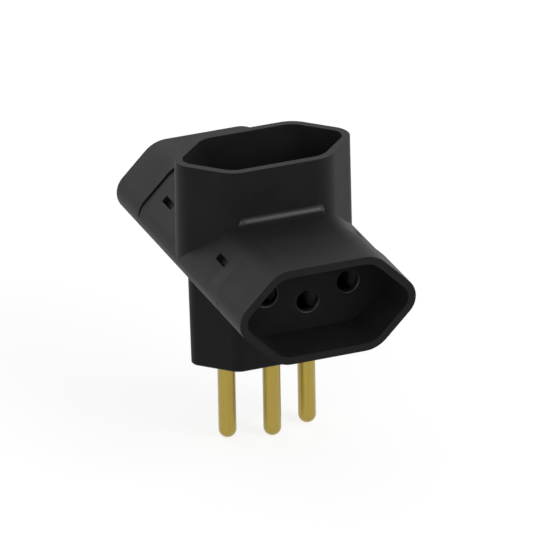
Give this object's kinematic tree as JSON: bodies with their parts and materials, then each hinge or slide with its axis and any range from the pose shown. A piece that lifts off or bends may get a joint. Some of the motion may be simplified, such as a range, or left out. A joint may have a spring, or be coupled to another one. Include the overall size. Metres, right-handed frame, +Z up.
{
  "type": "mains adapter plug",
  "caption": "Black T-shaped mains adapter: a plug body with round brass pins below, and hexagonal recessed outlets on top and at both ends of a cross barrel.",
  "frame": {"origin": "centre of the plug body's end face, on the line through the line and neutral pins", "axes": "+Z up towards the top outlet, X along the line of the line and neutral poles, -Y towards the front outlet"},
  "size_m": [0.041, 0.076, 0.0687],
  "materials": {
    "black_plastic": "satin",
    "brass": "satin"
  },
  "bodies": {
    "root": {"upper_shell": "black_plastic", "lower_shell": "black_plastic", "line_pin": "brass", "neutral_pin": "brass", "earth_pin": "brass", "line_contact": "brass", "neutral_contact": "brass", "earth_contact": "brass"}
  },
  "joints": []
}
